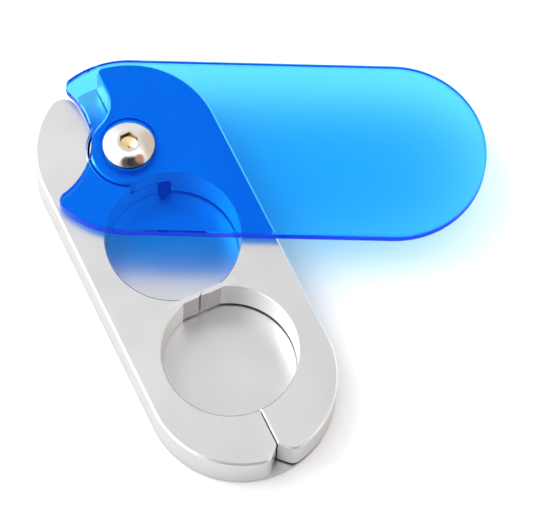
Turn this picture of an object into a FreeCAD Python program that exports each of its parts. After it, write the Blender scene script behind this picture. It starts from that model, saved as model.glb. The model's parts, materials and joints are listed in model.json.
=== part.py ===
import FreeCAD, Part
import math
import os
import Sketcher

# Pill splitter: a milled aluminium base jaw with a floor plate, a swing jaw that turns on it,
# steel blades at the neck between two pockets, and a swivelling acrylic cover, all on one screw.
# Millimetres. The flat underside is z = 0, +Y runs towards the pivot and -Y towards the opening.
# The swing jaw and the cover are drawn closed, then turned about the pivot to their rest pose.

DRIVING = {
    # body outline: a slot shape centred on the origin, its back end round about the pivot
    "body_length": 82.9, "body_width": 34.4,
    # levels above the underside
    "floor_top": 0.9, "swing_bottom": 1.6, "hub_top": 5.6, "jaw_top": 9.4,
    # round pockets, the first measured from the pivot
    "pocket_radius": 12.3, "first_pocket": 19.15, "pocket_pitch": 24.4,
    # split down the middle, the groove at its foot and the prising notch at the opening end
    "split_half": 0.03, "undercut": 0.8, "vee_depth": 2.6, "vee_corner": 2.0,
    # lap joint round the pivot: the swing jaw's boss lies on the base jaw's hub
    "boss_radius": 7.2, "boss_room": 7.6, "hub_radius": 7.7, "hub_room": 9.2, "lap_tip": 3.0,
    # rear faces that limit the opening swing
    "swing_rear": 1.0, "web_radius": 6.0, "base_rear": 4.7, "base_corner": 3.0, "swing_corner": 1.0,
    # broken edges of the jaws
    "outer_chamfer": 0.35, "split_chamfer": 0.3, "pocket_chamfer": 0.2, "foot_chamfer": 0.3,
    # blades, pressed into slots from above, each locked by a dowel pin from below; their edges pass
    # each other like those of shears, steep towards the other blade and shallow on the far side
    "blade_thick": 0.9, "blade_reach": 0.28, "blade_gap": 0.02, "edge_near": 0.2, "edge_far": 0.3,
    "steep_bevel": 0.7, "shallow_bevel": 1.25, "blade_shoulder": 3.7, "blade_tail": 6.9,
    "pin_offset": 7.4, "pin_radius": 0.75, "pin_length": 5.0, "pin_recess": 0.4, "pin_chamfer": 0.2,
    # pivot: button-head screw, spacer sleeve, thin hexagon nut and washers
    "screw_radius": 2.5, "screw_hole": 2.65, "screw_length": 10.0, "screw_chamfer": 0.5,
    "head_radius": 4.75, "head_height": 1.9, "head_rim": 0.5, "head_flat": 2.2,
    "socket_flats": 3.2, "socket_depth": 1.5, "socket_cone": 0.4,
    "sleeve_radius": 3.25, "sleeve_bore": 2.6, "sleeve_seat": 4.8, "turning_bore": 3.3,
    "nut_flats": 8.0, "nut_room": 0.1, "nut_height": 2.7, "nut_top": 4.0, "nut_chamfer": 0.4,
    "washer_thick": 0.2, "washer_play": 0.02, "hub_washer": 6.4, "head_washer": 4.6,
    # cover
    "cover_thick": 2.4, "counterbore": 5.3, "counterbore_depth": 0.8,
    "thumb_radius": 13.4, "thumb_reach": 6.8, "thumb_shift": 0.25, "thumb_tip": 1.8,
    "cover_chamfer": 0.25,
    # rest pose, degrees anticlockwise seen from above
    "swing_open": 0.2, "cover_open": 63.85,
}
DERIVED = {
    "half_width": "=body_width / 2",
    "pivot_y": "=(body_length - body_width) / 2",
    "pocket_1_y": "=pivot_y - first_pocket",
    "pocket_2_y": "=pocket_1_y - pocket_pitch",
    "neck_y": "=pocket_1_y - pocket_pitch / 2",
    "vee_y": "=-body_length / 2 + vee_depth",
    "corner_front": "=-(body_length - vee_depth) / 2",
    "corner_back": "=pivot_y + half_width / 2",
    "beyond": "=body_length",
    "boss_bottom": "=hub_top + washer_thick + washer_play",
    "web_x": "=swing_rear - web_radius",
    "web_y": "=pivot_y + sqrt((boss_radius + web_radius)^2 - web_x^2)",
    "neck_front": "=neck_y - blade_thick",
    "neck_back": "=neck_y + blade_thick",
    "slot_front": "=neck_y - blade_thick / 2",
    "slot_back": "=neck_y + blade_thick / 2",
    "lap_front": "=pivot_y - hub_room",
    "lap_back": "=pivot_y - hub_radius * 4 / 5",
    "vee_out_y": "=vee_y - half_width",
    "edge_x": "=blade_reach - blade_gap",
    "steep_x": "=steep_bevel + blade_gap",
    "base_near": "=neck_y + edge_near",
    "base_far": "=neck_y + edge_far",
    "swing_near": "=neck_y - edge_near",
    "swing_far": "=neck_y - edge_far",
    "swing_pin_z": "=swing_bottom + pin_recess",
    "cover_washer_z": "=jaw_top + washer_play",
    "cover_bottom": "=cover_washer_z + washer_thick + washer_play",
    "cover_top": "=cover_bottom + cover_thick",
    "recess_floor": "=cover_top - counterbore_depth",
    "head_washer_z": "=recess_floor + washer_play",
    "head_base": "=head_washer_z + washer_thick",
    "thumb_y": "=pivot_y + thumb_reach + thumb_radius",
    "dome_drop": ("=(head_radius^2 + head_rim^2 - head_flat^2 - head_height^2)"
                  " / (2 * (head_height - head_rim))"),
    "dome_radius": "=sqrt(head_flat^2 + (head_height + dome_drop)^2)",
    "nut_z": "=nut_top - nut_height",
    "nut_corner": "=(nut_flats + nut_room) / sqrt(3)",
    "nut_half": "=nut_corner / 2",
    "nut_front": "=pivot_y - (nut_flats + nut_room) / 2",
    "nut_back": "=pivot_y + (nut_flats + nut_room) / 2",
}

NEAR = 1e-6      # positions closer than this are the same

doc = FreeCAD.newDocument("PillSplitter")


def make_sheet():
    sheet = doc.addObject("Spreadsheet::Sheet", "Sizes")
    for row, (name, content) in enumerate({**DRIVING, **DERIVED}.items(), 1):
        sheet.set(f"A{row}", name)
        sheet.set(f"B{row}", str(content))
        sheet.setAlias(f"B{row}", name)
    doc.recompute()
    return sheet


sheet = make_sheet()


def number(name):
    """The value of a sheet name, negative after a minus sign, or of a plain number."""
    if isinstance(name, (int, float)):
        return float(name)
    return -float(getattr(sheet, name[1:])) if name.startswith("-") else float(getattr(sheet, name))


def binding(name):
    """The same as a FreeCAD expression."""
    return f"-Sizes.{name[1:]}" if name.startswith("-") else f"Sizes.{name}"


def vector(x, y):
    return FreeCAD.Vector(number(x), number(y), 0)


def new_body(label):
    body = doc.addObject("PartDesign::Body", label)
    body.Label = label
    return body


def new_sketch(body, name, level=None, role="XY_Plane"):
    sketch = body.newObject("Sketcher::SketchObject", f"{body.Label}_{name}")
    plane = next(f for f in body.Origin.OriginFeatures if f.Role == role)
    sketch.AttachmentSupport = [(plane, "")]
    sketch.MapMode = "FlatFace"
    if level:
        sketch.setExpression("AttachmentOffset.Base.z", binding(level))
    return sketch


def place(sketch, geometry, point, x, y):
    """Ties one point of a sketch to the sheet, or to an axis where its coordinate is zero."""
    for kind, axis, where in (("DistanceX", -2, x), ("DistanceY", -1, y)):
        if where == 0:
            sketch.addConstraint(Sketcher.Constraint("PointOnObject", geometry, point, axis))
        else:
            index = sketch.addConstraint(
                Sketcher.Constraint(kind, -1, 1, geometry, point, number(where)))
            sketch.setExpression(f"Constraints[{index}]", binding(where))


def add_circle(sketch, x, y, radius):
    circle = sketch.addGeometry(
        Part.Circle(vector(x, y), FreeCAD.Vector(0, 0, 1), number(radius)), False)
    place(sketch, circle, 3, x, y)
    index = sketch.addConstraint(Sketcher.Constraint("Radius", circle, number(radius)))
    sketch.setExpression(f"Constraints[{index}]", binding(radius))


def add_polygon(sketch, corners):
    """A closed outline of straight lines through corners given by sheet names."""
    first = sketch.GeometryCount
    for start, end in zip(corners, corners[1:] + corners[:1]):
        sketch.addGeometry(Part.LineSegment(vector(*start), vector(*end)), False)
    for side in range(len(corners)):
        following = first + (side + 1) % len(corners)
        sketch.addConstraint(Sketcher.Constraint("Coincident", first + side, 2, following, 1))
        place(sketch, first + side, 1, *corners[side])


def add_slot_outline(sketch):
    """The outline shared by the jaws and the cover: two straight sides and two round ends."""
    half, end = number("half_width"), number("pivot_y")
    up = FreeCAD.Vector(0, 0, 1)
    back = Part.ArcOfCircle(Part.Circle(FreeCAD.Vector(0, end, 0), up, half), 0, math.pi)
    front = Part.ArcOfCircle(Part.Circle(FreeCAD.Vector(0, -end, 0), up, half), math.pi, 2 * math.pi)
    left = Part.LineSegment(FreeCAD.Vector(-half, end, 0), FreeCAD.Vector(-half, -end, 0))
    right = Part.LineSegment(FreeCAD.Vector(half, -end, 0), FreeCAD.Vector(half, end, 0))
    back, left, front, right = sketch.addGeometry([back, left, front, right], False)
    for before, after in ((back, left), (left, front), (front, right), (right, back)):
        sketch.addConstraint(Sketcher.Constraint("Tangent", before, 2, after, 1))
    place(sketch, back, 3, 0, "pivot_y")
    place(sketch, front, 3, 0, "-pivot_y")
    index = sketch.addConstraint(Sketcher.Constraint("Radius", back, half))
    sketch.setExpression(f"Constraints[{index}]", "Sizes.half_width")


def pad(body, name, sketch, length):
    feature = body.newObject("PartDesign::Pad", f"{body.Label}_{name}")
    feature.Profile = sketch
    feature.setExpression("Length", length)
    doc.recompute()
    return feature


def pocket(body, name, sketch, length, upward=False):
    """Cuts down from the sketch, or up from it, and makes sure that it cuts something."""
    before = body.Shape.Volume
    feature = body.newObject("PartDesign::Pocket", f"{body.Label}_{name}")
    feature.Profile = sketch
    feature.setExpression("Length", length)
    feature.Reversed = upward
    doc.recompute()
    if not body.Shape.Volume < before:
        raise RuntimeError(f"{feature.Name} cuts nothing")
    return feature


def break_edges(body, kind, name, size, chosen):
    """Works on the edges of the body's last feature that the chosen test picks."""
    tip = body.Tip
    edges = [f"Edge{count}" for count, edge in enumerate(tip.Shape.Edges, 1) if chosen(edge)]
    if not edges:
        raise RuntimeError(f"{body.Label}_{name} has no edge to work on")
    feature = body.newObject(f"PartDesign::{kind}", f"{body.Label}_{name}")
    feature.Base = (tip, edges)
    feature.setExpression("Size" if kind == "Chamfer" else "Radius", binding(size))
    doc.recompute()


def chamfer(body, name, width, chosen):
    break_edges(body, "Chamfer", name, width, chosen)


def fillet(body, name, radius, chosen):
    break_edges(body, "Fillet", name, radius, chosen)


def at_level(edge, level):
    box = edge.BoundBox
    return abs(box.ZMin - number(level)) < NEAR and abs(box.ZMax - number(level)) < NEAR


def is_arc(edge, radius, y=None):
    curve = edge.Curve
    if not isinstance(curve, Part.Circle) or abs(curve.Radius - number(radius)) > NEAR:
        return False
    return y is None or abs(curve.Center.y - number(y)) < NEAR


def is_upright(edge):
    return edge.BoundBox.XLength < NEAR and edge.BoundBox.YLength < NEAR


def cut_disc(body, name, y, radius, level, length, upward=False):
    """A round cut on the centre line, from a level downward or upward."""
    sketch = new_sketch(body, f"{name}_outline", level)
    add_circle(sketch, 0, y, radius)
    return pocket(body, name, sketch, length, upward)


def cut_corners(body, name, corners, level, length, upward=False):
    sketch = new_sketch(body, f"{name}_outline", level)
    add_polygon(sketch, corners)
    return pocket(body, name, sketch, length, upward)


def cut_pockets_and_vee(body, depth):
    """The two round pockets and the right-angled prising notch, both jaws alike."""
    cut_disc(body, "pocket_1", "pocket_1_y", "pocket_radius", "jaw_top", depth)
    cut_disc(body, "pocket_2", "pocket_2_y", "pocket_radius", "jaw_top", depth)
    vee = [(0, "vee_y"), ("-half_width", "vee_out_y"), ("half_width", "vee_out_y")]
    cut_corners(body, "vee", vee, "jaw_top", depth)


def cut_blade_seat(body, sign, depth, pin_level):
    """Squares off the thin tip between the pockets, then cuts the blade's slot and the pin's hole."""
    tip = [(0, "neck_front"), (sign + "blade_shoulder", "neck_front"),
           (sign + "blade_shoulder", "neck_back"), (0, "neck_back")]
    cut_corners(body, "tip", tip, "jaw_top", depth)
    slot = [(0, "slot_front"), (sign + "blade_tail", "slot_front"),
            (sign + "blade_tail", "slot_back"), (0, "slot_back")]
    cut_corners(body, "slot", slot, "jaw_top", "Sizes.jaw_top - Sizes.swing_bottom")
    sketch = new_sketch(body, "pin_hole_outline", pin_level)
    add_circle(sketch, sign + "pin_offset", "neck_y", "pin_radius")
    pocket(body, "pin_hole", sketch, "Sizes.pin_recess + Sizes.pin_length", upward=True)


def round_the_corners(body, rear_x, rear_radius):
    """Rounds a jaw's upright corners at its rear face and at the prising notch."""
    fillet(body, "rear_corner", rear_radius, lambda edge: (
        is_upright(edge) and abs(edge.BoundBox.XMin - number(rear_x)) < NEAR
        and edge.BoundBox.YMin > number("corner_back")))
    fillet(body, "vee_corner", "vee_corner", lambda edge: (
        is_upright(edge) and edge.BoundBox.YMin < number("corner_front")))


def break_top_edges(body):
    """Chamfers the outer edges of a jaw's top more than its pockets' and leaves the split sharp."""
    def by_the_split(edge):
        box = edge.BoundBox
        return box.XLength < NEAR and abs(abs(box.XMin) - number("split_half")) < NEAR

    def round_the_pockets(edge):
        return at_level(edge, "jaw_top") and (
            is_arc(edge, "pocket_radius", "pocket_1_y") or is_arc(edge, "pocket_radius", "pocket_2_y"))

    def outer(edge):
        middle = edge.valueAt((edge.FirstParameter + edge.LastParameter) / 2)
        by_blade = abs(middle.y - number("neck_y")) < number("blade_thick") and (
            abs(middle.x) < number("pin_offset"))
        return (at_level(edge, "jaw_top") and not by_blade and not by_the_split(edge)
                and not is_arc(edge, "turning_bore") and not is_arc(edge, "pocket_radius"))

    chamfer(body, "outer_edges", "outer_chamfer", outer)
    chamfer(body, "pocket_edges", "pocket_chamfer", round_the_pockets)


def make_base_jaw():
    """Floor plate, left half at full height and the lower half of the lap joint, in one piece."""
    body = new_body("base_jaw")
    depth = "Sizes.jaw_top - Sizes.floor_top"
    sketch = new_sketch(body, "outline")
    add_slot_outline(sketch)
    pad(body, "plate", sketch, "Sizes.jaw_top")
    front_room = [("-split_half", "-beyond"), ("beyond", "-beyond"),
                  ("beyond", "pivot_y"), ("-split_half", "pivot_y")]
    cut_corners(body, "front_room", front_room, "jaw_top", depth)
    rear_room = [("-base_rear", "pivot_y"), ("beyond", "pivot_y"),
                 ("beyond", "beyond"), ("-base_rear", "beyond")]
    cut_corners(body, "rear_room", rear_room, "jaw_top", depth)
    sketch = new_sketch(body, "hub_outline")
    add_circle(sketch, 0, "pivot_y", "hub_radius")
    pad(body, "hub", sketch, "Sizes.hub_top")
    cut_disc(body, "boss_room", "pivot_y", "boss_room", "jaw_top", "Sizes.jaw_top - Sizes.hub_top")
    cut_pockets_and_vee(body, depth)
    round_the_corners(body, "-base_rear", "base_corner")
    groove = [("-undercut", "-beyond"), (0, "-beyond"), (0, "pocket_2_y"), ("-undercut", "pocket_2_y")]
    cut_corners(body, "groove", groove, "swing_bottom", "Sizes.swing_bottom - Sizes.floor_top")
    lap = [("-lap_tip", "lap_front"), (0, "lap_front"), (0, "lap_back"), ("-lap_tip", "lap_back")]
    cut_corners(body, "lap_tip", lap, "jaw_top", "Sizes.jaw_top - Sizes.hub_top")
    cut_blade_seat(body, "-", depth, None)
    cut_disc(body, "sleeve_seat", "pivot_y", "sleeve_radius", "hub_top",
             "Sizes.hub_top - Sizes.sleeve_seat")
    cut_disc(body, "screw_hole", "pivot_y", "screw_hole", "sleeve_seat", "Sizes.sleeve_seat")
    nut_room = [("nut_corner", "pivot_y"), ("nut_half", "nut_back"), ("-nut_half", "nut_back"),
                ("-nut_corner", "pivot_y"), ("-nut_half", "nut_front"), ("nut_half", "nut_front")]
    cut_corners(body, "nut_room", nut_room, None, "Sizes.nut_top", upward=True)
    break_top_edges(body)
    chamfer(body, "foot_edges", "foot_chamfer", lambda edge: at_level(edge, 0) and (
        is_arc(edge, "half_width") or abs(abs(edge.BoundBox.Center.x) - number("half_width")) < NEAR))
    return body


def make_swing_jaw():
    """Right half of the body, whose boss lies on the base jaw's hub."""
    body = new_body("swing_jaw")
    depth = "Sizes.jaw_top - Sizes.swing_bottom"
    sketch = new_sketch(body, "outline", "swing_bottom")
    add_slot_outline(sketch)
    pad(body, "plate", sketch, depth)
    front_room = [("-beyond", "-beyond"), ("split_half", "-beyond"),
                  ("split_half", "pivot_y"), ("-beyond", "pivot_y")]
    cut_corners(body, "front_room", front_room, "jaw_top", depth)
    rear_room = [("-beyond", "pivot_y"), ("swing_rear", "pivot_y"),
                 ("swing_rear", "beyond"), ("-beyond", "beyond")]
    cut_corners(body, "rear_room", rear_room, "jaw_top", depth)
    sketch = new_sketch(body, "boss_outline", "swing_bottom")
    add_circle(sketch, 0, "pivot_y", "boss_radius")
    pad(body, "boss", sketch, depth)
    sketch = new_sketch(body, "web_outline", "swing_bottom")
    add_polygon(sketch, [("web_x", "web_y"), (0, "pivot_y"),
                         ("swing_rear", "pivot_y"), ("swing_rear", "web_y")])
    pad(body, "web", sketch, depth)
    sketch = new_sketch(body, "web_curve_outline", "jaw_top")
    add_circle(sketch, "web_x", "web_y", "web_radius")
    pocket(body, "web_curve", sketch, depth)
    cut_disc(body, "hub_room", "pivot_y", "hub_room", "swing_bottom",
             "Sizes.boss_bottom - Sizes.swing_bottom", upward=True)
    cut_pockets_and_vee(body, depth)
    round_the_corners(body, "swing_rear", "swing_corner")
    cut_blade_seat(body, "", depth, "swing_bottom")
    cut_disc(body, "bore", "pivot_y", "turning_bore", "jaw_top", depth)
    break_top_edges(body)
    chamfer(body, "split_edge", "split_chamfer", lambda edge: (
        at_level(edge, "jaw_top") and edge.BoundBox.YMax < number("pocket_2_y")
        and abs(edge.BoundBox.XMax - number("split_half")) < NEAR and edge.BoundBox.XLength < NEAR))
    return body


def make_cover():
    """Acrylic plate with a thumb notch behind the pivot and a counterbore for the screw's head."""
    body = new_body("cover")
    sketch = new_sketch(body, "outline", "cover_bottom")
    add_slot_outline(sketch)
    pad(body, "plate", sketch, "Sizes.cover_thick")
    sketch = new_sketch(body, "thumb_notch_outline", "cover_top")
    add_circle(sketch, "thumb_shift", "thumb_y", "thumb_radius")
    pocket(body, "thumb_notch", sketch, "Sizes.cover_thick")

    def notch_tip(edge):
        across = edge.BoundBox.XMin - number("thumb_shift")
        along = edge.BoundBox.YMin - number("thumb_y")
        return is_upright(edge) and abs(math.hypot(across, along) - number("thumb_radius")) < NEAR

    fillet(body, "notch_tips", "thumb_tip", notch_tip)
    cut_disc(body, "counterbore", "pivot_y", "counterbore", "cover_top", "Sizes.counterbore_depth")
    cut_disc(body, "bore", "pivot_y", "turning_bore", "cover_top", "Sizes.cover_thick")
    chamfer(body, "rims", "cover_chamfer", lambda edge: (
        at_level(edge, "cover_top") or at_level(edge, "cover_bottom"))
        and not is_arc(edge, "turning_bore") and not is_arc(edge, "counterbore"))
    return body


def make_blade(label, edge, sign, pin_level):
    """Hardened plate with a shearing edge, notched behind for its locking pin."""
    body = new_body(label)
    sketch = new_sketch(body, "outline", "swing_bottom")
    tail = [(sign + "blade_tail", "slot_front"), (sign + "blade_tail", "slot_back")]
    add_polygon(sketch, edge + tail)
    pad(body, "plate", sketch, "Sizes.jaw_top - Sizes.swing_bottom")
    sketch = new_sketch(body, "notch_outline", pin_level)
    add_circle(sketch, sign + "pin_offset", "neck_y", "pin_radius")
    pocket(body, "notch", sketch, "Sizes.pin_recess + Sizes.pin_length", upward=True)
    return body


def make_pin(label, sign, level):
    body = new_body(label)
    sketch = new_sketch(body, "outline", level)
    add_circle(sketch, sign + "pin_offset", "neck_y", "pin_radius")
    pad(body, "shank", sketch, "Sizes.pin_length")
    chamfer(body, "ends", "pin_chamfer", lambda edge: is_arc(edge, "pin_radius"))
    return body


def make_ring(label, outer, inner, level, length):
    """A washer or sleeve round the pivot."""
    body = new_body(label)
    sketch = new_sketch(body, "outline", level)
    add_circle(sketch, 0, "pivot_y", outer)
    add_circle(sketch, 0, "pivot_y", inner)
    pad(body, "ring", sketch, length)
    return body


def primitive(kind, name, level, **sizes):
    """A Part primitive centred on the pivot, its sizes and height bound to the sheet."""
    solid = doc.addObject(f"Part::{kind}", name)
    for key, expression in sizes.items():
        solid.setExpression(key, expression)
    solid.setExpression("Placement.Base.y", "Sizes.pivot_y")
    solid.setExpression("Placement.Base.z", level)
    return solid


def combine(kind, name, base, tool):
    result = doc.addObject(f"Part::{kind}", name)
    result.Base = base
    result.Tool = tool
    return result


def make_screw():
    """Button-head socket screw: a domed head, a hexagon socket with a drilled end, and a shank."""
    drum = primitive("Cylinder", "head_drum", "Sizes.head_base",
                     Radius="Sizes.head_radius", Height="Sizes.head_height")
    dome = primitive("Sphere", "head_dome", "Sizes.head_base - Sizes.dome_drop",
                     Radius="Sizes.dome_radius")
    head = combine("Common", "head", drum, dome)
    shank = primitive("Cylinder", "shank", "Sizes.head_base - Sizes.screw_length",
                      Radius="Sizes.screw_radius", Height="Sizes.screw_length")
    point = primitive("Cone", "shank_point", "Sizes.head_base - Sizes.screw_length",
                      Radius1="Sizes.screw_radius - Sizes.screw_chamfer",
                      Radius2="Sizes.screw_radius - Sizes.screw_chamfer + Sizes.screw_length",
                      Height="Sizes.screw_length")
    blank = combine("Fuse", "blank", head, combine("Common", "pointed_shank", shank, point))
    socket = primitive("Prism", "socket", "Sizes.head_base + Sizes.head_height - Sizes.socket_depth",
                       Circumradius="Sizes.socket_flats / sqrt(3)", Height="Sizes.socket_depth")
    drilled = primitive(
        "Cone", "socket_end",
        "Sizes.head_base + Sizes.head_height - Sizes.socket_depth - Sizes.socket_cone",
        Radius1="0 mm", Radius2="Sizes.socket_flats / 2",
        Height="Sizes.socket_cone")
    return combine("Cut", "pivot_screw", blank, combine("Fuse", "socket_room", socket, drilled))


def make_nut():
    """Thin hexagon nut with its corners turned off, in a hexagon pocket from below."""
    hexagon = primitive("Prism", "nut_hexagon", "Sizes.nut_z",
                        Circumradius="Sizes.nut_flats / sqrt(3)", Height="Sizes.nut_height")
    turned = primitive("Cylinder", "nut_turned", "Sizes.nut_z",
                       Radius="Sizes.nut_flats / sqrt(3) - Sizes.nut_chamfer",
                       Height="Sizes.nut_height")
    thread = primitive("Cylinder", "nut_thread", "Sizes.nut_z",
                       Radius="Sizes.screw_radius", Height="Sizes.nut_height")
    return combine("Cut", "pivot_nut", combine("Common", "nut_blank", hexagon, turned), thread)


def turn_to_rest(body, angle):
    """Turns a piece drawn closed about the pivot."""
    pivot = FreeCAD.Vector(0, number("pivot_y"), 0)
    body.Placement = FreeCAD.Placement(
        FreeCAD.Vector(), FreeCAD.Rotation(FreeCAD.Vector(0, 0, 1), number(angle)), pivot)


def check(nodes):
    """Stops on a failed object or a sub-part that is not one valid solid."""
    for item in doc.Objects:
        if "Invalid" in item.State or "Error" in item.State:
            raise RuntimeError(f"{item.Name} failed: {item.State}")
    for node in nodes:
        shape = node.Shape
        if shape.isNull() or not shape.isValid() or len(shape.Solids) != 1:
            raise RuntimeError(f"{node.Label} is not one valid solid")


def build():
    swinging = [
        make_swing_jaw(),
        make_blade("swing_blade", [("steep_x", "slot_back"), ("-edge_x", "swing_near"),
                                   ("-edge_x", "swing_far"), ("shallow_bevel", "slot_front")],
                   "", "swing_bottom"),
        make_pin("swing_blade_pin", "", "swing_pin_z"),
    ]
    cover = make_cover()
    fixed = [
        make_base_jaw(),
        make_blade("base_blade", [("-shallow_bevel", "slot_back"), ("edge_x", "base_far"),
                                  ("edge_x", "base_near"), ("-steep_x", "slot_front")],
                   "-", None),
        make_pin("base_blade_pin", "-", "pin_recess"),
        make_ring("pivot_sleeve", "sleeve_radius", "sleeve_bore", "sleeve_seat",
                  "Sizes.head_base - Sizes.sleeve_seat"),
        make_ring("hub_washer", "hub_washer", "turning_bore", "hub_top", "Sizes.washer_thick"),
        make_ring("cover_washer", "head_washer", "turning_bore", "cover_washer_z",
                  "Sizes.washer_thick"),
        make_ring("head_washer", "head_washer", "turning_bore", "head_washer_z",
                  "Sizes.washer_thick"),
        make_screw(),
        make_nut(),
    ]
    doc.recompute()
    for piece in swinging:
        turn_to_rest(piece, "swing_open")
    turn_to_rest(cover, "cover_open")
    return [*fixed, *swinging, cover]


nodes = build()
check(nodes)
os.makedirs("parts", exist_ok=True)
for node in nodes:
    node.Shape.exportStep(f"parts/{node.Label}.step")
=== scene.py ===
import json
import math

import bpy
from mathutils import Matrix, Vector


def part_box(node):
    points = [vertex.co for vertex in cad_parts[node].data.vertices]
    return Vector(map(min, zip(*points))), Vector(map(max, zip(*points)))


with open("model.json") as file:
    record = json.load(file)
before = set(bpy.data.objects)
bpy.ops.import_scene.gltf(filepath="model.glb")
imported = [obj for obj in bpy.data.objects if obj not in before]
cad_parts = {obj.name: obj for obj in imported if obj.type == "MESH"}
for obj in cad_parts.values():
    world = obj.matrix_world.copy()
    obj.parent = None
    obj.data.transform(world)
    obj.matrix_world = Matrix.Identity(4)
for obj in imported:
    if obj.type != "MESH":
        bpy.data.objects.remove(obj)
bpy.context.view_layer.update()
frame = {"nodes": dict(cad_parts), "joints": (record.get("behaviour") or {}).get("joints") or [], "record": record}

MM = 0.001
NODES = frame["nodes"]

# ---------------------------------------------------------------- places on the jaws

JAW_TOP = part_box("base_jaw")[1].z
TOP_LAYER = (0.5 * MM, 0.35 * MM)       # depths between which the top's finish gives way
PIVOT_Y = frame["joints"][0]["pos_m"][1]
OPENINGS = {opening["name"]: opening["box_m"] for opening in frame["record"]["physics"]["openings"]}
POCKETS = [(low[1] + high[1]) / 2 for low, high in (OPENINGS["pocket_1"], OPENINGS["pocket_2"])]
POCKET_REACH = 12.7 * MM                # a little more than the pockets' radius
HUB_REACH = 9.3 * MM                    # a little more than the room for the hub in the swing jaw
HUB_SIDE = 2.6 * MM                     # where the hub's wall gives way to the gap beside it
LAP_TOP = 5.9 * MM                      # a little above the room for the hub

# ---------------------------------------------------------------- colours and finishes


def rgb(red, green, blue):
    return (red, green, blue, 1.0)


# aluminium
BLASTED, BLASTED_PALE = rgb(0.66, 0.66, 0.665), rgb(0.69, 0.69, 0.69)
# painted light: pocket walls paler than the tops, standing in for light that reaches them
POCKET_WALL_PAINTED_LIGHT = rgb(0.86, 0.86, 0.86)
# near-white chamfers: partly brighter cut metal, partly a painted highlight
CUT_METAL_HIGHLIGHT = rgb(0.97, 0.97, 0.97)
# painted shade: the near-black colour put deep in narrow gaps and in the slot beside the hub, where shade falls
GAP_PAINTED_SHADE = rgb(0.03, 0.03, 0.035)

# steel and nylon
BLADE_DARK, BLADE_LIGHT = rgb(0.42, 0.41, 0.41), rgb(0.72, 0.72, 0.73)
BLADE_TOP = rgb(0.665, 0.665, 0.67)
GROUND = rgb(0.66, 0.66, 0.68)
POLISHED = rgb(0.80, 0.78, 0.76)
SMEAR_GAIN = 1.06                       # how much paler bright steel is in smears
# painted shade: near black on the walls of recesses such as the hex socket; a brass tone on their floors
SOCKET_PAINTED_SHADE, SOCKET_FLOOR_BRASS = rgb(0.02, 0.015, 0.012), rgb(0.85, 0.62, 0.28)
NYLON_DARK, NYLON_LIGHT = rgb(0.80, 0.80, 0.76), rgb(0.88, 0.88, 0.84)

# acrylic: what is seen through its edges and its flats, its haze, and the light that it lets pass
EDGE_TINT, FLAT_TINT = rgb(0.002, 0.01, 0.78), rgb(0.15, 0.86, 1.0)
SHEEN_TINT = rgb(0.08, 0.35, 1.0)
HAZE_TINT = rgb(0.0, 0.05, 0.90)
EDGE_HAZE, FLAT_HAZE = 0.70, 0.14
PASSING_LIGHT, MIRRORED_LIGHT = rgb(0.06, 0.60, 0.82), rgb(0.03, 0.50, 1.0)
ACRYLIC_IOR = 1.49

# paper, brighter to the eye than in the light that it throws back at the object
PAPER, PAPER_PALE = rgb(0.91, 0.905, 0.90), rgb(0.93, 0.93, 0.93)
PAPER_BOUNCE = rgb(0.76, 0.755, 0.75)

# how far up a surface faces, from 0 on a wall to 1 on a level one: a pair is where one kind of
# surface gives way to the other
WALL, LEVEL = 0.3, 0.7
RIM, FLAT = 0.3, 0.8
CHAMFER, TOP = 0.85, 0.95
BLADE_SLOPE, BLADE_LEVEL = 0.90, 0.98

# roughness, and how much the grain or the scratches add to it
SATIN_LOW, SATIN_HIGH, SATIN_GRAIN = 0.26, 0.30, 0.05
BLADE_ROUGHNESS, BLADE_GRAIN = 0.27, 0.15
GROUND_ROUGHNESS, GROUND_SCRATCH = 0.25, 0.12
POLISHED_ROUGHNESS, POLISHED_SCRATCH = 0.07, 0.08
NYLON_ROUGHNESS = 0.45
PAPER_ROUGHNESS = 0.9

# the part of a noise's range that is stretched to a full change of finish
CLOUD_LOW, CLOUD_HIGH = 0.3, 0.7
GRAIN_LOW, GRAIN_HIGH = 0.35, 0.65

# noise, in features to the metre
CLOUD_SCALE = 90.0
SMEAR_SCALE = 300.0
FIBRE_SCALE = 1200.0
MOTTLE_SCALE = 1500.0
SCRATCH_SCALE = 4000.0
COARSE_GRAIN_SCALE = 5000.0
FINE_GRAIN_SCALE = 9000.0

# ---------------------------------------------------------------- room, lamp and camera

EVEN_SKY = rgb(1.24, 1.22, 1.21)        # what lights matt surfaces
MIRRORED_SKY = rgb(1.5, 1.5, 1.5)       # what polished surfaces mirror

# dim parts of the mirrored sky, each a direction, the cosines of the angle from it at which the part
# is full and at which it has faded out, and a colour
DIM_PATCHES = (
    ((0.25, 0.40, 0.88), 0.97, 0.72, rgb(0.84, 0.84, 0.85)),         # what the jaws' tops mirror
    ((0.60, 0.70, 0.15), 0.92, 0.45, rgb(0.98, 0.94, 0.92)),         # far wall
    ((0.95, -0.10, 0.25), 0.93, 0.60, rgb(0.74, 0.64, 0.54)),        # warm wall on the right
    ((-0.20, -0.95, 0.25), 0.90, 0.45, rgb(0.36, 0.355, 0.355)),     # grey wall in front
    ((-0.36, -0.52, 0.77), 0.985, 0.94, rgb(0.12, 0.10, 0.10)),      # dark shape of the observer,
    ((-0.10, -0.63, 0.77), 0.985, 0.94, rgb(0.03, 0.03, 0.05)),      # from left to right, with the
    ((0.16, -0.70, 0.70), 0.985, 0.94, rgb(0.07, 0.05, 0.06)),       # reddish one last
    ((0.30, -0.60, 0.74), 0.99, 0.96, rgb(0.55, 0.28, 0.20)),
)

KEY_PLACE, KEY_AIM = (-0.44, 0.50, 0.70), (0.01, 0, 0)
KEY_SIZE, KEY_WATTS = 0.85, 6.0

FLOOR_SIZE = 6.0
FLOOR_LEVEL = -0.02 * MM

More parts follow.
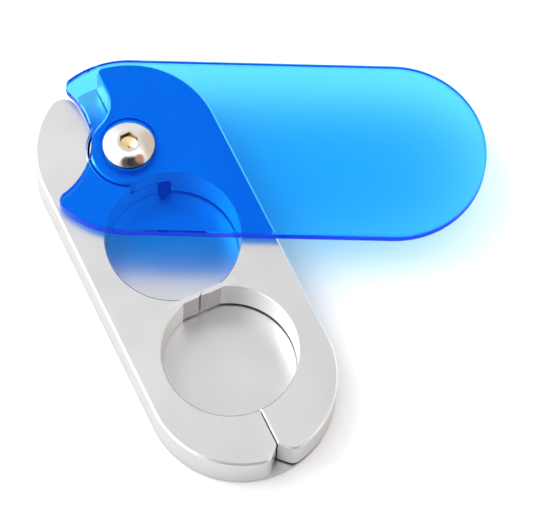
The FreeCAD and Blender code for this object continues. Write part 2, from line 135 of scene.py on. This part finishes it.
AIM = Vector((14.106, -5.296, 5.2)) * MM
DISTANCE = 626.0 * MM
AZIMUTH, ELEVATION, ROLL = math.radians(-29.449), math.radians(67.47), math.radians(4.333)
LENS, SENSOR = 231.4, 36.0
CLIP_START = 0.01


# ---------------------------------------------------------------- node helpers

class Tree:
    """A short way to add and join shader nodes."""

    def __init__(self, owner):
        owner.use_nodes = True
        self.tree = owner.node_tree
        self.tree.nodes.clear()

    def add(self, kind, **settings):
        node = self.tree.nodes.new("ShaderNode" + kind)
        for name, setting in settings.items():
            setattr(node, name, setting)
        return node

    def feed(self, node, **values):
        """Sets or links a node's inputs, with each name's underscores read as spaces."""
        for name, given in values.items():
            self.feed_one(node, name.replace("_", " "), given)
        return node

    def feed_one(self, node, name, given):
        socket = node.inputs[name]
        if isinstance(given, bpy.types.NodeSocket):
            self.tree.links.new(given, socket)
        else:
            socket.default_value = given

    def math(self, operation, a, b=0.0, clamp=False):
        node = self.add("Math", operation=operation, use_clamp=clamp)
        self.feed_one(node, 0, a)
        self.feed_one(node, 1, b)
        return node.outputs[0]

    def product(self, first, *others):
        for other in others:
            first = self.math("MULTIPLY", first, other)
        return first

    def ramp(self, value, low, high, low_to=0.0, high_to=1.0):
        """A smooth step from one value to another, falling where low is above high."""
        node = self.add("MapRange", interpolation_type="SMOOTHSTEP")
        self.feed(node, Value=value, From_Min=low, From_Max=high, To_Min=low_to, To_Max=high_to)
        return node.outputs[0]

    def noise(self, vector, scale, detail=2.0, roughness=0.5):
        node = self.add("TexNoise")
        self.feed(node, Vector=vector, Scale=scale, Detail=detail, Roughness=roughness)
        return node.outputs[0]

    def mix_colour(self, factor, a, b):
        node = self.add("Mix", data_type="RGBA")
        self.feed_one(node, 0, factor)
        self.feed_one(node, 6, a)
        self.feed_one(node, 7, b)
        return node.outputs[2]

    def mix_shader(self, factor, a, b):
        node = self.feed(self.add("MixShader"), Fac=factor)
        self.feed_one(node, 1, a)
        self.feed_one(node, 2, b)
        return node.outputs[0]

    def bump(self, height, distance, strength=1.0):
        node = self.add("Bump")
        self.feed(node, Height=height, Distance=distance, Strength=strength)
        return node.outputs[0]

    def split(self, vector):
        """The X, Y and Z of a vector."""
        return self.feed(self.add("SeparateXYZ"), Vector=vector).outputs

    def position(self):
        """Where a point lies on its piece at rest, so that a pattern moves with the piece."""
        return self.add("TexCoord").outputs["Object"]

    def seen(self):
        """1 where the eye looks straight at a surface or through a clear one, 0 for other light."""
        path = self.add("LightPath").outputs
        return self.math("MAXIMUM", path["Is Camera Ray"], path["Is Transmission Ray"])

    def output(self, surface, kind="OutputMaterial"):
        self.feed_one(self.add(kind), "Surface", surface)


def crevices(t, reach, shut, clear):
    """From 0 deep in a gap narrower than the reach to 1 in the open."""
    open_sky = t.feed(t.add("AmbientOcclusion", samples=6), Distance=reach)
    return t.ramp(open_sky.outputs["AO"], shut, clear)


def upward_share(t):
    """How far a surface faces up or down, from 0 on a wall to 1 on a floor or a top."""
    return t.math("ABSOLUTE", t.split(t.add("NewGeometry").outputs["Normal"])["Z"])


def within(t, place, centre_y, radius):
    """1 closer than a radius to an upright axis on the centre line of the jaws, 0 beyond."""
    along = t.math("SUBTRACT", place["Y"], centre_y)
    square = t.math("ADD", t.product(along, along), t.product(place["X"], place["X"]))
    return t.math("LESS_THAN", square, radius ** 2)


def pocket_wall(t, place):
    """1 on the walls of the two round pockets and 0 elsewhere on the jaws."""
    first, second = (within(t, place, centre, POCKET_REACH) for centre in POCKETS)
    return t.product(t.math("MAXIMUM", first, second), t.ramp(upward_share(t), LEVEL, WALL))


def lap_slot(t, place):
    """1 in the gap beside the hub of the lap joint, which opens into the first pocket; the aluminium paints it
    near black as painted shade.
    """
    beside = t.math("GREATER_THAN", place["X"], HUB_SIDE)
    low = t.math("LESS_THAN", place["Z"], LAP_TOP)
    return t.product(within(t, place, PIVOT_Y, HUB_REACH), beside, low)


def top_layer(t):
    """1 at the level of the jaws' tops and of the chamfers round them, 0 below."""
    level = t.split(t.add("NewGeometry").outputs["Position"])["Z"]
    below, above = TOP_LAYER
    return t.ramp(level, JAW_TOP - below, JAW_TOP - above)


# ---------------------------------------------------------------- materials

def material(name):
    made = bpy.data.materials.new(name)
    return made, Tree(made)


def add_metal(t, colour, roughness, grain, depth, strength):
    """A metal surface, embossed with its grain to the depth times the strength."""
    shader = t.feed(t.add("BsdfPrincipled"), Base_Color=colour, Metallic=1.0, Roughness=roughness,
                    Normal=t.bump(grain, depth, strength))
    t.output(shader.outputs[0])


def make_aluminium():
    """Satin, bead-blasted aluminium, with pocket walls made paler as painted light, chamfers near white as
    brighter cut metal and painted highlight, and painted shade near black in its gaps.
    """
    made, t = material("satin_aluminium")
    at = t.position()
    place = t.split(at)
    grain = t.noise(at, FINE_GRAIN_SCALE)
    cloud = t.noise(at, CLOUD_SCALE, detail=3.0)
    satin = t.ramp(cloud, CLOUD_LOW, CLOUD_HIGH, SATIN_LOW, SATIN_HIGH)
    roughness = t.math("ADD", satin, t.product(grain, SATIN_GRAIN))
    at_top = top_layer(t)
    chamfer = t.product(t.ramp(upward_share(t), TOP, CHAMFER), at_top)
    # painted shade: deep in narrow gaps and in the slot beside the hub the colour goes near black, but not at the
    # level of the tops
    gap = crevices(t, reach=1.6 * MM, shut=0.25, clear=0.55)
    shade_free = t.math("MAXIMUM", t.math("SUBTRACT", gap, lap_slot(t, place), clamp=True), at_top)
    colour = t.mix_colour(cloud, BLASTED, BLASTED_PALE)
    # painted light: the walls of the pockets are made paler
    colour = t.mix_colour(pocket_wall(t, place), colour, POCKET_WALL_PAINTED_LIGHT)
    # the chamfers round the tops go near white: partly brighter cut metal, partly painted highlight
    colour = t.mix_colour(chamfer, colour, CUT_METAL_HIGHLIGHT)
    colour = t.mix_colour(shade_free, GAP_PAINTED_SHADE, colour)
    add_metal(t, colour, roughness, grain, depth=0.01 * MM, strength=0.25)
    return made


def make_blade_steel():
    """Ground blade steel: grainy on the sides and bevels, blasted with the jaw on its top edge."""
    made, t = material("blade_steel")
    grain = t.noise(t.position(), COARSE_GRAIN_SCALE, detail=4.0, roughness=0.7)
    top = t.ramp(t.split(t.add("NewGeometry").outputs["Normal"])["Z"], BLADE_SLOPE, BLADE_LEVEL)
    side = t.mix_colour(t.ramp(grain, GRAIN_LOW, GRAIN_HIGH), BLADE_DARK, BLADE_LIGHT)
    roughness = t.math("ADD", t.product(grain, BLADE_GRAIN), BLADE_ROUGHNESS)
    add_metal(t, t.mix_colour(top, side, BLADE_TOP), roughness, grain, depth=0.03 * MM, strength=0.5)
    return made


def make_steel(name, colour, roughness, scratch, wall_shade=None, floor_tone=None):
    """Bright steel with fine scratches; where colours are given, painted shade near black on its recesses' walls
    and a brass tone on their floors.
    """
    made, t = material(name)
    at = t.position()
    scratches = t.noise(at, SCRATCH_SCALE, detail=3.0)
    smear = t.noise(at, SMEAR_SCALE)
    paler = rgb(*(min(1.0, channel * SMEAR_GAIN) for channel in colour[:3]))
    tint = t.mix_colour(smear, colour, paler)
    if wall_shade:
        # painted shade on the recesses' walls, a brass tone on their floors
        recess_colour = t.mix_colour(t.ramp(upward_share(t), WALL, LEVEL), wall_shade, floor_tone)
        tint = t.mix_colour(crevices(t, reach=2.4 * MM, shut=0.55, clear=0.90), recess_colour, tint)
    varied = t.math("ADD", t.product(scratches, scratch), roughness)
    add_metal(t, tint, varied, scratches, depth=0.004 * MM, strength=0.2)
    return made


def make_nylon():
    """Milky nylon, faintly mottled."""
    made, t = material("white_nylon")
    mottle = t.noise(t.position(), MOTTLE_SCALE, detail=3.0)
    colour = t.mix_colour(mottle, NYLON_DARK, NYLON_LIGHT)
    shader = t.feed(t.add("BsdfPrincipled"), Base_Color=colour, Roughness=NYLON_ROUGHNESS,
                    Normal=t.bump(mottle, distance=0.01 * MM, strength=0.3))
    t.output(shader.outputs[0])
    return made


def make_acrylic():
    """Clear blue acrylic: bends what the eye sees through it and lets other light pass tinted."""
    made, t = material("blue_acrylic")
    flat = t.ramp(upward_share(t), RIM, FLAT)
    tint = t.mix_colour(flat, EDGE_TINT, FLAT_TINT)
    clear = t.feed(t.add("BsdfPrincipled"), Base_Color=tint, Roughness=0.0, IOR=ACRYLIC_IOR,
                   Transmission_Weight=1.0, Specular_Tint=SHEEN_TINT)
    haze = t.feed(t.add("BsdfDiffuse"), Color=HAZE_TINT)
    sheet = t.mix_shader(t.ramp(flat, 0.0, 1.0, EDGE_HAZE, FLAT_HAZE), clear.outputs[0],
                         haze.outputs[0])
    mirrored = t.add("LightPath").outputs["Is Glossy Ray"]
    passing = t.feed(t.add("BsdfTransparent"),
                     Color=t.mix_colour(mirrored, PASSING_LIGHT, MIRRORED_LIGHT))
    t.output(t.mix_shader(t.seen(), passing.outputs[0], sheet))
    return made


def make_paper():
    """White paper with a faint fibre."""
    made, t = material("white_paper")
    fibre = t.noise(t.position(), FIBRE_SCALE)
    colour = t.mix_colour(t.seen(), PAPER_BOUNCE, t.mix_colour(fibre, PAPER, PAPER_PALE))
    shader = t.feed(t.add("BsdfPrincipled"), Base_Color=colour, Roughness=PAPER_ROUGHNESS)
    t.output(shader.outputs[0])
    return made


def dress(made, *names):
    """Gives CAD nodes a material."""
    for name in names:
        slots = NODES[name].data.materials
        slots.clear()
        slots.append(made)


# ---------------------------------------------------------------- stage, light and camera

def make_floor():
    bpy.ops.mesh.primitive_plane_add(size=FLOOR_SIZE, location=(0, 0, FLOOR_LEVEL))
    floor = bpy.context.object
    floor.name = "floor"
    floor.data.materials.append(make_paper())


def make_world():
    """A pale, even room in which mirroring surfaces also find the dim parts."""
    world = bpy.data.worlds.new("studio")
    bpy.context.scene.world = world
    t = Tree(world)
    towards = t.add("TexCoord").outputs["Generated"]
    mirrored = t.add("LightPath").outputs["Is Glossy Ray"]
    colour = t.mix_colour(mirrored, EVEN_SKY, MIRRORED_SKY)
    for aim, full, gone, tone in DIM_PATCHES:
        meets = t.add("VectorMath", operation="DOT_PRODUCT")
        t.feed_one(meets, 0, towards)
        t.feed_one(meets, 1, tuple(Vector(aim).normalized()))
        share = t.product(t.ramp(meets.outputs["Value"], gone, full), mirrored)
        colour = t.mix_colour(share, colour, tone)
    sky = t.feed(t.add("Background"), Color=colour, Strength=1.0)
    t.output(sky.outputs[0], "OutputWorld")


def make_key():
    """A large soft lamp behind the object on its left."""
    data = bpy.data.lights.new("key", "AREA")
    data.shape = "DISK"
    data.size = KEY_SIZE
    data.energy = KEY_WATTS
    key = bpy.data.objects.new("key", data)
    bpy.context.scene.collection.objects.link(key)
    key.location = KEY_PLACE
    key.rotation_euler = (Vector(KEY_AIM) - Vector(KEY_PLACE)).to_track_quat("-Z", "Y").to_euler()


def make_camera():
    ahead = Vector((-math.sin(AZIMUTH) * math.cos(ELEVATION),
                    math.cos(AZIMUTH) * math.cos(ELEVATION), -math.sin(ELEVATION)))
    right = Vector((math.cos(AZIMUTH), math.sin(AZIMUTH), 0))
    up = right.cross(ahead)
    across = right * math.cos(ROLL) + up * math.sin(ROLL)
    upward = -right * math.sin(ROLL) + up * math.cos(ROLL)
    data = bpy.data.cameras.new("camera")
    data.lens = LENS
    data.sensor_width = SENSOR
    data.clip_start = CLIP_START
    camera = bpy.data.objects.new("camera", data)
    bpy.context.scene.collection.objects.link(camera)
    turn = Matrix((across, upward, -ahead)).transposed().to_4x4()
    camera.matrix_world = Matrix.Translation(AIM - ahead * DISTANCE) @ turn
    bpy.context.scene.camera = camera


# ---------------------------------------------------------------- put together

dress(make_aluminium(), "base_jaw", "swing_jaw")
dress(make_blade_steel(), "base_blade", "swing_blade")
dress(make_steel("ground_steel", GROUND, GROUND_ROUGHNESS, GROUND_SCRATCH),
      "base_blade_pin", "swing_blade_pin", "pivot_sleeve")
dress(make_steel("stainless_steel", POLISHED, POLISHED_ROUGHNESS, POLISHED_SCRATCH,
                 SOCKET_PAINTED_SHADE, SOCKET_FLOOR_BRASS),
      "pivot_screw", "pivot_nut")
dress(make_nylon(), "hub_washer", "cover_washer", "head_washer")
dress(make_acrylic(), "cover")

make_floor()
make_world()
bpy.context.scene.view_settings.view_transform = "Standard"
make_key()
make_camera()
